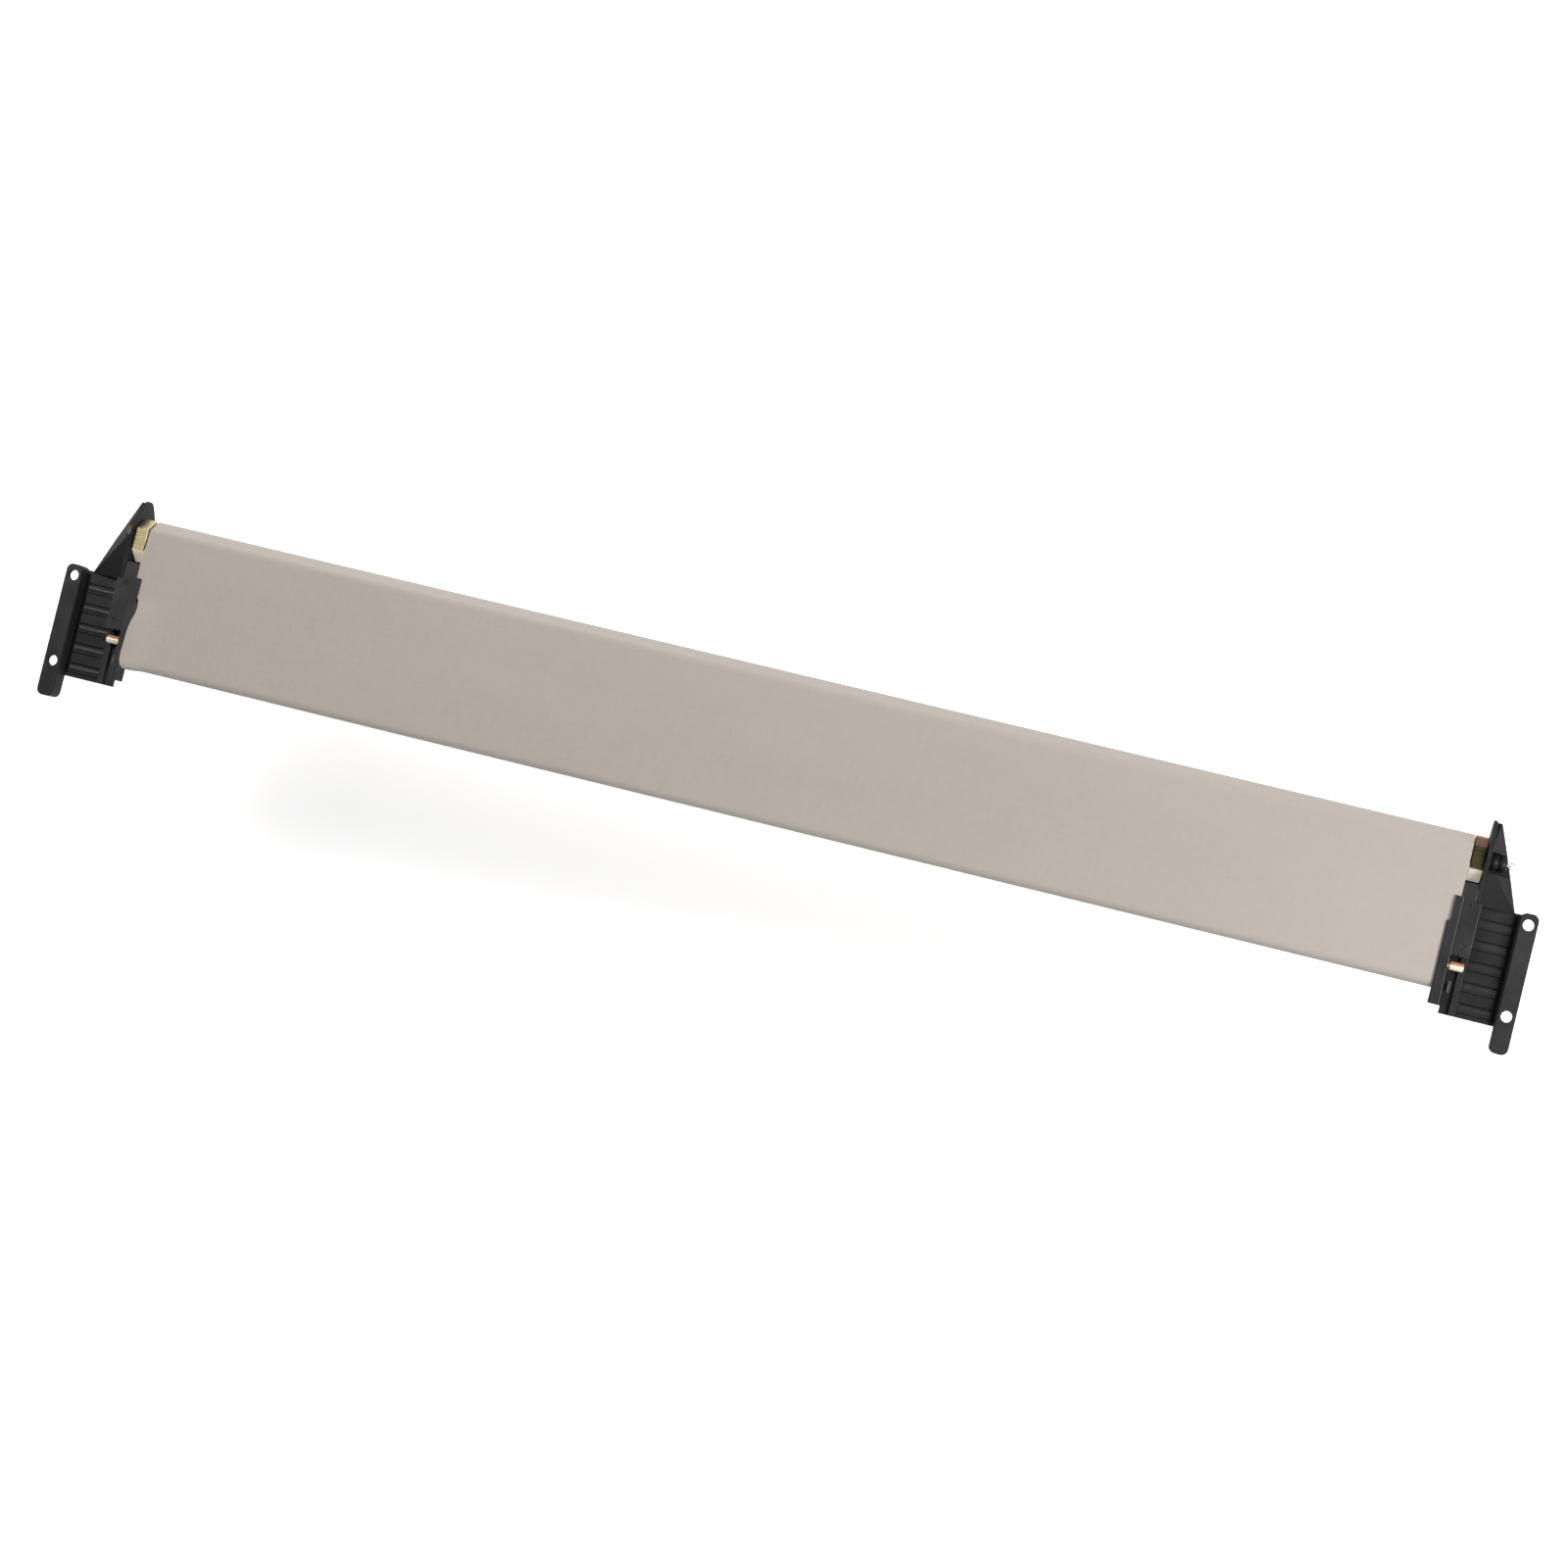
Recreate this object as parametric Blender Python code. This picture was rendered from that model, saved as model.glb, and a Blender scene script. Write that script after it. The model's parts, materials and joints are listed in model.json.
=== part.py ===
"""Spring roller sunshade for a panoramic car roof: two moulded end brackets carry a wound
fabric roller, and a pull bar draws the fabric out along the guides in the -Y direction.

X runs along the roller and +Z points away from the faces that the brackets are screwed down on.
The origin is midway between the four screw holes, in the plane of those faces. Metres."""

import math

import bmesh
import bpy
from mathutils import Matrix, Vector

# Overall sizes
fabric_width = 0.850
hole_spacing = 0.056        # the two screw holes of one bracket
roll_radius = 0.014         # reach of the six corners of the collars and the wound fabric
bar_thick = 0.008

# Cloth and clearances
cloth = 0.0005
gap = 0.0003                # between pieces that touch
running = 0.0003            # between pieces that turn or slide on each other
roll_gap = 0.0015           # between the wound fabric and the end of the guides

# Roller and its spring
tube_radius = 0.009
tube_wall = 0.0011
axle_radius = 0.0027
bush_wall = 0.0010
lump_width = 0.0046          # rounded collars outside the right cheek
lump_rise = 0.0008
shaft_radius = 0.0018
spigot_length = 0.025
spring_wire = 0.0012
spring_turns = 16
spring_length = 0.290
anchor_length = 0.012
drive_length = 0.026
collar_corner = 0.0006      # rounding of the hexagonal collars' corners
roll_corner = 0.0042        # and of the fabric wound to the same shape
ring_radius = 0.0020        # wire loop that locks the axle
ring_wire = 0.00033

# Brackets
hole_radius = 0.0035
flange_width = 0.011
flange_depth = 0.0135
flange_skin = 0.0045        # material left in front of the recess behind a screw hole
flange_over = 0.0070        # flange beyond the upper hole
flange_under = 0.0230       # and beyond the lower one
hole_offset = 0.042         # screw holes outside the fabric edge
base_thick = 0.003
cheek_thick = 0.0023
cheek_rim = 0.0113          # cheek beyond the wound fabric
cheek_tip = 0.0103          # radius of the cheek's round tip
cheek_drop = 0.0045         # tip below the roller's axis
cheek_back = 0.0205         # back of the cheek below the roller's axis
rib_pairs = 5
rib_pitch = 0.013
rib_width = 0.0046
rib_rise = 0.0007

shelf_reach = 0.006         # shelf behind the wound fabric

# Guides and pull bar
rail_lap = 0.0035           # rail over the fabric edge
ledge_lap = 0.0052
rail_thick = 0.0018
cover_thick = 0.0022
bar_width = 0.0214
pin_radius = 0.0027
pin_core = 0.0014
spline_radius = 0.0010
bar_bottom = 0.0055         # underside of the bar above the screw faces

# Places along Y
web_low = -hole_spacing / 2 - 0.0076
web_high = hole_spacing / 2 + 0.0055
guide_high = web_high + 0.011
guide_low = web_low + 0.0046
roller_y = guide_high + roll_gap + roll_radius
bar_low = web_low + 0.0147
bar_high = bar_low + bar_width
spline_y = bar_high - 0.0020
pin_y = bar_low + 0.0147
cover_low = pin_y + pin_radius + 0.0035

# Places along Z
bar_top = bar_bottom + bar_thick
bar_z = bar_bottom + bar_thick / 2
spline_z = bar_bottom + 0.0020
panel_low = bar_top + gap
panel_mid = panel_low + cloth / 2
rail_low = panel_low + cloth + gap
rail_top = rail_low + rail_thick
cover_top = rail_low
cover_low_z = cover_top - cover_thick
roller_z = 0.002
wall_top = cover_low_z - gap

# Places along X, on the right-hand side
edge = fabric_width / 2
bar_end = edge - 0.0075
cap_end = edge - 0.0004
guide_in = edge - 0.0018
cover_in = edge + gap
cover_out = edge + 0.0125
channel_out = edge + 0.0088
leaf_x = edge + 0.0054
collar_end = edge + 0.0084
cheek_in = collar_end + 0.0006
cheek_out = cheek_in + cheek_thick
hole_x = edge + hole_offset
flange_in = hole_x - flange_width / 2
flange_out = hole_x + flange_width / 2
lump_start = cheek_out + 0.0012
bush_end = lump_start + lump_width
lock_end = bush_end + gap + lump_width
axle_tip = lock_end + 0.0005
ring_x = axle_tip + 0.0009
anchor_out = edge - spigot_length - 0.003
spring_out = anchor_out - anchor_length - gap
spring_in = spring_out - spring_length

cheek_radius = roll_radius + cheek_rim
cheek_front = roller_z + 0.0190
bush_radius = axle_radius + running + bush_wall
lump_radius = bush_radius + lump_rise
tube_bore = tube_radius - tube_wall
wound_radius = roll_radius - gap - cloth / 2 - 0.00015
wound_flat = (wound_radius - roll_corner) * math.cos(math.radians(30)) + roll_corner
steps_round = 40

colours = {
    "black_plastic": ((0.035, 0.035, 0.037), 0.45, 0.0),
    "gold_zinc": ((0.62, 0.47, 0.22), 0.28, 1.0),
    "steel": ((0.55, 0.55, 0.56), 0.35, 1.0),
    "spring_steel": ((0.25, 0.25, 0.27), 0.4, 1.0),
    "aluminium": ((0.72, 0.72, 0.74), 0.35, 1.0),
    "fabric": ((0.48, 0.42, 0.37), 0.9, 0.0),
    "grey_plastic": ((0.30, 0.30, 0.30), 0.5, 0.0),
}


def clear_scene():
    for old in list(bpy.data.objects):
        bpy.data.objects.remove(old, do_unlink=True)


def material(slot):
    if slot in bpy.data.materials:
        return bpy.data.materials[slot]
    colour, roughness, metallic = colours[slot]
    made = bpy.data.materials.new(slot)
    made.use_nodes = True
    shader = made.node_tree.nodes["Principled BSDF"]
    shader.inputs["Base Color"].default_value = (*colour, 1)
    shader.inputs["Roughness"].default_value = roughness
    shader.inputs["Metallic"].default_value = metallic
    made.diffuse_color = (*colour, 1)
    return made


def link(name, bm, origin=(0, 0, 0)):
    bmesh.ops.recalc_face_normals(bm, faces=bm.faces)
    bmesh.ops.translate(bm, verts=bm.verts, vec=-Vector(origin))
    mesh = bpy.data.meshes.new(name)
    bm.to_mesh(mesh)
    bm.free()
    obj = bpy.data.objects.new(name, mesh)
    obj.location = origin
    bpy.context.scene.collection.objects.link(obj)
    return obj


def combine(obj, other, operation):
    """Apply one Boolean to obj and remove the other object."""
    step = obj.modifiers.new(operation, "BOOLEAN")
    step.operation = operation
    step.object = other
    graph = bpy.context.evaluated_depsgraph_get()
    made = bpy.data.meshes.new_from_object(obj.evaluated_get(graph))
    obj.modifiers.clear()
    obj.data = made
    bpy.data.objects.remove(other, do_unlink=True)


def join(obj, *others):
    for other in others:
        combine(obj, other, "UNION")


def cut(obj, *others):
    for other in others:
        combine(obj, other, "DIFFERENCE")


def finish(obj, name, slot, side=1, smooth=True):
    """Name a solid, put it on its side of the blind and give it its material."""
    obj.name = obj.data.name = name
    if side < 0:
        obj.data.transform(Matrix.Scale(-1, 4, (1, 0, 0)))
        obj.data.flip_normals()
        obj.location.x *= -1
    obj.data.materials.clear()
    obj.data.materials.append(material(slot))
    if smooth:
        obj.data.shade_smooth()
        obj.data.set_sharp_from_angle(angle=math.radians(35))
    return obj


def arc(centre_a, centre_b, radius, start, end, steps):
    """Points along an arc, angles in degrees."""
    turn = (math.radians(start + (end - start) * i / steps) for i in range(steps + 1))
    return [(centre_a + radius * math.cos(t), centre_b + radius * math.sin(t)) for t in turn]


def prism(name, outline, low, high, axis="x"):
    """Extrude an outline: (y, z) points along X, or (x, y) points along Z."""
    bm = bmesh.new()
    ends = []
    for level in (low, high):
        places = [(level, a, b) if axis == "x" else (a, b, level) for a, b in outline]
        ends.append([bm.verts.new(place) for place in places])
    bm.faces.new(ends[0])
    bm.faces.new(reversed(ends[1]))
    for i in range(len(outline)):
        j = (i + 1) % len(outline)
        bm.faces.new((ends[0][i], ends[0][j], ends[1][j], ends[1][i]))
    return link(name, bm)


def block(name, low, high):
    (x0, y0, z0), (x1, y1, z1) = low, high
    return prism(name, [(y0, z0), (y1, z0), (y1, z1), (y0, z1)], x0, x1)


def turned(name, profile, y, z, steps=steps_round, closed=False):
    """Turn an (x, radius) profile about the line along X through (y, z)."""
    bm = bmesh.new()
    ring = [bm.verts.new((x, y, z + radius)) for x, radius in profile]
    pairs = list(zip(ring, ring[1:]))
    if closed:
        pairs.append((ring[-1], ring[0]))
    lines = [bm.edges.new(pair) for pair in pairs]
    bmesh.ops.spin(bm, geom=ring + lines, cent=(0, y, z), axis=(1, 0, 0),
                   angle=math.tau, steps=steps, use_merge=True)
    bmesh.ops.remove_doubles(bm, verts=bm.verts, dist=1e-6)
    return link(name, bm, (0, y, z))


def rod(name, x0, x1, radius, y, z, steps=steps_round):
    return turned(name, [(x0, 0), (x0, radius), (x1, radius), (x1, 0)], y, z, steps)


def sleeve(name, x0, x1, radius, bore, y, z):
    profile = [(x0, bore), (x0, radius), (x1, radius), (x1, bore)]
    return turned(name, profile, y, z, closed=True)


def post(name, x, y, radius, low, high, steps=20):
    return prism(name, arc(x, y, radius, 0, 360 * (1 - 1 / steps), steps - 1), low, high, "z")


def ribbon(path, thickness):
    """Outline of a strip of even thickness along a path of (y, z) points."""
    sides = ([], [])
    for i, (a, b) in enumerate(path):
        before = Vector(path[max(i - 1, 0)])
        after = Vector(path[min(i + 1, len(path) - 1)])
        along = (after - before).normalized()
        for side, sign in zip(sides, (1, -1)):
            half = sign * thickness / 2
            side.append((a - along.y * half, b + along.x * half))
    return sides[0] + sides[1][::-1]


# Bracket

def flange():
    """Screw flange, a bar with a round-nosed outline and rounded front edges."""
    low, high = -hole_spacing / 2 - flange_under, hole_spacing / 2 + flange_over
    nose = flange_width * 0.36
    outline = arc(flange_out - nose, high - nose, nose, 0, 90, 5)
    outline += arc(flange_in + nose, high - nose, nose, 90, 180, 5)
    outline += arc(flange_in + nose, low + nose, nose, 180, 270, 5)
    outline += arc(flange_out - nose, low + nose, nose, 270, 360, 5)
    bar = prism("flange", outline, 0, flange_depth, "z")
    bm = bmesh.new()
    bm.from_mesh(bar.data)
    front = [e for e in bm.edges if all(v.co.z > flange_depth - 1e-6 for v in e.verts)]
    bmesh.ops.bevel(bm, geom=front, offset=0.0008, segments=2, profile=0.5, affect="EDGES")
    bm.to_mesh(bar.data)
    bm.free()
    return bar


def screw_holes():
    """Cutters for the two holes, each with a recess behind it that opens outwards."""
    cutters = []
    for sign in (-1, 1):
        y = sign * hole_spacing / 2
        cutters.append(post("hole", hole_x, y, hole_radius, -0.001, flange_depth + 0.001))
        cutters.append(block("recess", (hole_x - hole_radius - 0.0004, y - 0.006, -0.001),
                             (flange_out + 0.001, y + 0.006, flange_depth - flange_skin)))
    return cutters


def base_plate():
    """Web between the guide and the flange, with the stepped lower corner."""
    outline = [
        (guide_in, guide_low), (edge + 0.003, guide_low), (edge + 0.003, web_low),
        (flange_in + 0.002, web_low), (flange_in + 0.002, web_high),
        (cover_out, web_high), (cover_out, guide_high), (guide_in, guide_high),
    ]
    return prism("base", outline, 0, base_thick, "z")


def rib_rows():
    """Y of each rib's middle, from the upper end of the web."""
    first = web_high - 0.0113
    return [first - i * rib_pitch for i in range(rib_pairs)]


def ribs():
    return [block("rib", (cover_out - 0.0004, y - rib_width / 2, base_thick - 0.001),
                  (flange_in - 0.0028, y + rib_width / 2, base_thick + rib_rise))
            for y in rib_rows()]


def grooves():
    """Cutters on both sides of each rib, and the trench along the flange."""
    x0, x1 = cover_out + 0.0008, flange_in - 0.0028
    made = []
    for y in rib_rows():
        upper, lower = y + rib_width / 2, y - rib_width / 2
        made.append(block("groove", (x0, upper, base_thick - 0.0018),
                          (x1, upper + 0.0013, base_thick + 0.002)))
        made.append(block("groove", (x0, lower - 0.0008, base_thick - 0.0012),
                          (x1, lower, base_thick + 0.002)))
    made.append(block("trench", (flange_in - 0.0024, web_low + 0.002, base_thick - 0.0012),
                      (flange_in - 0.0001, web_high - 0.002, base_thick + 0.002)))
    return made


def guide_walls():
    """Lower guide under the bar's end, walls that the cover lies on, shelf behind the roll."""
    lower_top = bar_bottom - gap - cloth - running
    under_roll = roll_radius - shelf_reach
    shelf_top = roller_z - math.sqrt(roll_radius ** 2 - under_roll ** 2) - 3 * running
    shelf_low = shelf_top - 0.0025
    return [
        block("lower_guide", (guide_in, guide_low, 0), (edge + 0.0006, guide_high, lower_top)),
        block("outer_wall", (channel_out + 0.0012, cover_low, 0), (cover_out, web_high, wall_top)),
        block("upper_wall", (guide_in, guide_high - 0.0022, shelf_low),
              (cheek_in + 0.001, guide_high, wall_top)),
        block("shelf", (guide_in, guide_high - 0.0022, shelf_low),
              (cheek_in + 0.001, guide_high + roll_gap + shelf_reach, shelf_top)),
        block("channel_wall", (channel_out, web_low, 0),
              (cover_out, cover_low + 0.001, bar_z - pin_radius - running * 2)),
    ]


def stake_places():
    return [(channel_out - 0.0008, cover_low + 0.006), (channel_out - 0.0030, web_high - 0.0025)]


def stakes():
    """Studs that hold the cover, one near each end of it."""
    return [post("stake", x, y, 0.0012, base_thick - 0.001, cover_top - 0.0004, 12)
            for x, y in stake_places()]


def cheek():
    """Upright wall at the roller's end: a round tip, sloping flanks, a straight back."""
    tip_y = roller_y + cheek_radius - cheek_tip
    tip_z = roller_z - cheek_drop
    outline = arc(tip_y, tip_z, cheek_tip, -45, 45, 12)
    flank = cheek_tip * math.sin(math.radians(45))
    lowest = roller_z - cheek_back
    fall = (tip_z - flank) - lowest
    rise = (cheek_front - 0.0005) - (tip_z + flank)
    outline += [
        (tip_y + flank - rise, cheek_front - 0.0005), (roller_y + 0.001, cheek_front),
        (web_high, wall_top + 0.0005), (web_high, 0), (guide_high, lowest + 0.003),
        (guide_high + 0.008, lowest), (tip_y + flank - fall, lowest),
    ]
    return prism("cheek", outline, cheek_in, cheek_out)


def brace():
    """Wedge between the cheek and the flange, highest along the cheek's front edge."""
    inner = cheek_in + 0.001
    tip_y = roller_y + cheek_radius - 0.0012
    tip_x, foot_x = cheek_in + 0.0052, flange_in - 0.0030
    side_x = tip_x + 0.52 * (foot_x - tip_x)
    low_y = web_high - 0.001
    back = roller_z - lump_radius - 0.0040
    points = [
        (inner, tip_y, roller_z - cheek_drop + 0.001), (inner, roller_y + 0.001, cheek_front - 0.001),
        (inner, low_y, wall_top), (tip_x, tip_y, -0.0005), (side_x, roller_y - 0.002, 0.0015),
        (foot_x, low_y, base_thick), (foot_x, low_y, 0), (inner, low_y, 0),
        (inner, tip_y, -0.007), (tip_x, tip_y, -0.006), (inner, roller_y + 0.008, back),
        (side_x - 0.002, roller_y + 0.005, back), (side_x - 0.001, roller_y - 0.010, back),
        (inner, roller_y - 0.014, back),
    ]
    bm = bmesh.new()
    made = bmesh.ops.convex_hull(bm, input=[bm.verts.new(point) for point in points])
    loose = [v for v in made["geom_interior"] if isinstance(v, bmesh.types.BMVert)]
    bmesh.ops.delete(bm, geom=loose, context="VERTS")
    return link("brace", bm)


def bracket(name, side, window):
    """One end bracket: the window side shows the axle end, the other is closed."""
    body = base_plate()
    join(body, *guide_walls(), *ribs(), flange(), brace(), cheek(), *stakes())
    cut(body, *grooves(), *screw_holes())
    hole = bush_radius + running
    if window:
        reach = cheek_out + 0.03
        cut(body, block("window", (cheek_out, roller_y - lump_radius - 0.0028,
                                   roller_z - lump_radius - 0.0008),
                        (reach, roller_y + lump_radius + 0.0010, roller_z + 0.03)))
        cut(body, rod("axle_hole", cheek_in - 0.001, cheek_out + 0.001, hole, roller_y, roller_z))
    else:
        cut(body, rod("blind_hole", cheek_in - 0.001, cheek_out + 0.0046, hole,
                      roller_y, roller_z))
    return finish(body, name, "black_plastic", side)


def guide_cover(name, side):
    """Cover over the guide with the rail that holds the fabric's edge down."""
    rail = block("rail", (edge - rail_lap, guide_low, rail_low),
                 (cover_in + 0.0010, web_high + 0.002, rail_top))
    lip = block("lip", (cover_in, guide_low, bar_z + pin_radius + running),
                (cover_in + 0.0010, web_high + 0.001, rail_low + 0.0005))
    ledge = block("ledge", (edge - ledge_lap, guide_low, rail_low),
                  (edge - rail_lap + 0.0005, web_high - 0.0135, rail_top - 0.0007))
    plate = block("plate", (cover_in, cover_low, cover_low_z),
                  (cover_out, web_high - gap, cover_top))
    neck = block("neck", (cover_in, web_high - 0.002, cover_low_z),
                 (cheek_in - gap, guide_high, cover_top))
    join(plate, neck, lip, rail, ledge)
    cut(plate, *[post("stake_hole", x, y, 0.0012 + gap, 0, 0.03, 12) for x, y in stake_places()])
    cut(plate, *[block("notch", (edge + x, cover_low - 0.001, 0),
                       (edge + x + 0.0012, cover_low + 0.0012, 0.03)) for x in (0.0026, 0.0052)])
    return finish(plate, name, "black_plastic", side)


def guide_leaf(name, side):
    """Small bowed leaf on the channel floor that keeps the pin from rattling."""
    middle = (web_low + pin_y) / 2 + 0.002
    rise = bar_z - pin_radius - base_thick - 4 * gap
    path = [(middle + 0.0035 * t, base_thick + gap + 0.0004 + (rise - 0.0008) * (1 - t * t))
            for t in (-1, -0.6, -0.2, 0.2, 0.6, 1)]
    leaf = prism("leaf", ribbon(path, 0.0005), leaf_x - 0.0010, leaf_x + 0.0010)
    return finish(leaf, name, "grey_plastic", side)


# Roller

def bush(name, side, lump):
    """Plain bush in the cheek. The lump is the round-nosed collar outside it."""
    bore = axle_radius + running
    start = cheek_in + 0.0001
    profile = [(start, bore), (start, bush_radius)]
    if lump:
        profile += [(lump_start, bush_radius)]
        profile += lump_profile(lump_start, bush_end)
        profile += [(bush_end, bore)]
    else:
        profile += [(cheek_out + 0.0040, bush_radius), (cheek_out + 0.0040, bore)]
    return finish(turned("bush", profile, roller_y, roller_z, closed=True),
                  name, "black_plastic", side)


def lump_profile(start, end):
    """A rounded collar's outer side, as (x, radius) points."""
    middle, half = (start + end) / 2, (end - start) / 2
    side = bush_radius - 0.0006
    angles = [math.radians(180 - 22.5 * i) for i in range(9)]
    return [(middle + half * math.cos(t), side + (lump_radius - side) * math.sin(t))
            for t in angles]


def lock_collar():
    bore = axle_radius + running
    start = bush_end + gap
    profile = [(start, bore)] + lump_profile(start, lock_end) + [(lock_end, bore)]
    return finish(turned("lock_collar", profile, roller_y, roller_z, closed=True),
                  "right_lock_collar", "black_plastic")


def axle(name, side):
    """Steel axle stub that stands still while the roller turns on it."""
    start = edge - spigot_length + 0.002
    if side < 0:
        end = cheek_out + 0.0038
        return finish(rod(name, start, end, axle_radius, roller_y, roller_z),
                      name, "steel", side)
    body = rod(name, start, axle_tip, axle_radius, roller_y, roller_z)
    tab = 0.0006
    join(body, block("tab", (axle_tip - 0.001, roller_y - tab, roller_z - 0.0022),
                     (ring_x + 0.0014, roller_y + tab, roller_z + 0.0022)))
    cut(body, ring_hole())
    cut(body, rod("socket", start - 0.001, start + 0.010, shaft_radius + gap, roller_y, roller_z))
    return finish(body, name, "steel", side)


def ring_hole():
    """Cutter across the tab, along Y."""
    bm = bmesh.new()
    bmesh.ops.create_cone(bm, cap_ends=True, segments=14, radius1=0.0007, radius2=0.0007,
                          depth=0.01, matrix=Matrix.Rotation(math.pi / 2, 4, "X"))
    bmesh.ops.translate(bm, verts=bm.verts, vec=(ring_x, roller_y, roller_z))
    return link("ring_hole", bm)


def lock_ring():
    """Wire loop through the axle's tab, with one end bent up. Its hinge is the hole."""
    points = [(-ring_radius * 0.95, 0.0042, 0.0005), (-ring_radius * 0.9, 0.0028, 0.0005)]
    for i in range(15):
        turn = math.radians(130 - 24 * i)
        lift = 0.0005 * max(0, 1 - i / 9)
        points.append((ring_radius * math.cos(turn), ring_radius * math.sin(turn), lift))
    curve = bpy.data.curves.new("lock_ring", "CURVE")
    curve.dimensions = "3D"
    curve.bevel_depth = ring_wire
    curve.bevel_resolution = 2
    curve.use_fill_caps = True
    line = curve.splines.new("POLY")
    line.points.add(len(points) - 1)
    for point, (x, y, z) in zip(line.points, points):
        point.co = (x + ring_radius, y, z, 1)
    ring = bpy.data.objects.new("lock_ring", curve)
    ring.location = (ring_x, roller_y, roller_z)
    bpy.context.scene.collection.objects.link(ring)
    curve.materials.append(material("steel"))
    return ring


def hexagon(reach, rounding, steps):
    """Hexagon about the roller's axis, one flat side facing +Z, its corners rounded."""
    outline = []
    for i in range(6):
        turn = math.radians(60 * i)
        centre_y = roller_y + (reach - rounding) * math.cos(turn)
        centre_z = roller_z + (reach - rounding) * math.sin(turn)
        outline += arc(centre_y, centre_z, rounding, 60 * i - 30, 60 * i + 30, steps)
    return outline


def collar(name, side):
    """Gold end collar: a hexagonal head beside the wound fabric and a spigot in the tube."""
    head = prism("collar", hexagon(roll_radius, collar_corner, 4), edge + gap, collar_end)
    bm = bmesh.new()
    bm.from_mesh(head.data)
    rims = [e for e in bm.edges if abs(e.verts[0].co.x - e.verts[1].co.x) < 1e-6]
    bmesh.ops.bevel(bm, geom=rims, offset=0.0004, segments=1, affect="EDGES")
    bm.to_mesh(head.data)
    bm.free()
    join(head, rod("spigot", edge - spigot_length, edge + 0.002, tube_bore - gap,
                   roller_y, roller_z))
    cut(head, rod("bore", edge - spigot_length - 0.001, collar_end + 0.001, axle_radius + running,
                  roller_y, roller_z))
    return turning(finish(head, name, "gold_zinc", side))


def turning(obj):
    """Put the origin of a piece that turns with the roller on the roller's axis."""
    obj.data.transform(Matrix.Translation((0, -roller_y, -roller_z)))
    obj.location = (0, roller_y, roller_z)
    return obj


def roller_tube():
    tube = sleeve("roller_tube", -edge, edge, tube_radius, tube_bore, roller_y, roller_z)
    return finish(tube, "roller_tube", "steel")


def fabric_roll():
    half = edge - gap / 3
    roll = prism("fabric_roll", hexagon(wound_radius, roll_corner, 8), -half, half)
    cut(roll, rod("core", -edge - 0.001, edge + 0.001, tube_radius + gap, roller_y, roller_z))
    return turning(finish(roll, "fabric_roll", "fabric"))


def torsion_spring():
    """Helical spring round the shaft, between the still anchor and the turning drive plug."""
    radius = (shaft_radius + tube_bore) / 2 + 0.0002
    sides = 12
    curve = bpy.data.curves.new("torsion_spring", "CURVE")
    curve.dimensions = "3D"
    curve.bevel_depth = spring_wire / 2
    curve.bevel_resolution = 0
    curve.use_fill_caps = True
    line = curve.splines.new("POLY")
    count = spring_turns * sides
    line.points.add(count)
    reach = spring_length - 2 * spring_wire
    for i, point in enumerate(line.points):
        turn = math.tau * i / sides
        x = spring_in + spring_wire + reach * i / count
        point.co = (x, radius * math.cos(turn), radius * math.sin(turn), 1)
    spring = bpy.data.objects.new("torsion_spring", curve)
    spring.location = (0, roller_y, roller_z)
    bpy.context.scene.collection.objects.link(spring)
    curve.materials.append(material("spring_steel"))
    return spring


def spring_shaft():
    start = spring_in - drive_length - 0.006
    end = edge - spigot_length + 0.002 + 0.009
    shaft = rod("spring_shaft", start, end, shaft_radius, roller_y, roller_z, 24)
    return finish(shaft, "spring_shaft", "steel")


def spring_anchor():
    anchor = sleeve("spring_anchor", spring_out + gap, anchor_out, tube_bore - 0.0007,
                    shaft_radius + gap, roller_y, roller_z)
    return finish(anchor, "spring_anchor", "grey_plastic")


def drive_plug():
    plug = sleeve("drive_plug", spring_in - gap - drive_length, spring_in - gap,
                  tube_bore - gap, shaft_radius + running, roller_y, roller_z)
    return finish(plug, "drive_plug", "grey_plastic")


# Fabric and pull bar

def fabric_panel():
    """The length in view: along the roll's flat, down under the rails, round the bar's nose."""
    top = roller_z + wound_flat + gap + cloth / 2
    leave = roller_y - wound_flat * math.tan(math.radians(30))
    bend = (web_high + 0.002, panel_mid)
    nose = bar_thick / 2 + gap + cloth / 2
    path = [(roller_y, top), (leave, top), bend]
    path += arc(bar_low + bar_thick / 2, bar_z, nose, 90, 270, 10)
    path.append((pin_y - 0.003, bar_bottom - gap - cloth / 2))
    panel = prism("fabric_panel", ribbon(path, cloth), -edge, edge)
    return finish(panel, "fabric_panel", "fabric")


def bar_outline(inset=0.0):
    """Flat bar with a round nose, as (y, z) points."""
    nose = bar_thick / 2 - inset
    outline = arc(bar_low + bar_thick / 2, bar_z, nose, 90, 270, 8)
    return outline + [(bar_high - inset, bar_z - nose), (bar_high - inset, bar_z + nose)]


def pull_bar():
    """Hollow extrusion with a groove behind for the fabric's spline."""
    bar = prism("pull_bar", bar_outline(), -bar_end, bar_end)
    cut(bar, block("hollow", (-bar_end - 0.001, pin_y - 0.0055, bar_z - bar_thick * 0.21),
                   (bar_end + 0.001, pin_y + 0.0040, bar_z + bar_thick * 0.27)))
    cut(bar, block("groove", (-bar_end - 0.001, spline_y - 0.0004, bar_bottom - 0.001),
                   (bar_end + 0.001, spline_y + 0.0004, bar_bottom + 0.002)))
    cut(bar, rod("groove", -bar_end - 0.001, bar_end + 0.001, spline_radius + gap,
                 spline_y, spline_z, 12))
    return finish(bar, "pull_bar", "aluminium")


def bar_spline():
    spline = rod("bar_spline", -bar_end, bar_end, spline_radius, spline_y, spline_z, 10)
    return finish(spline, "bar_spline", "grey_plastic")


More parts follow.
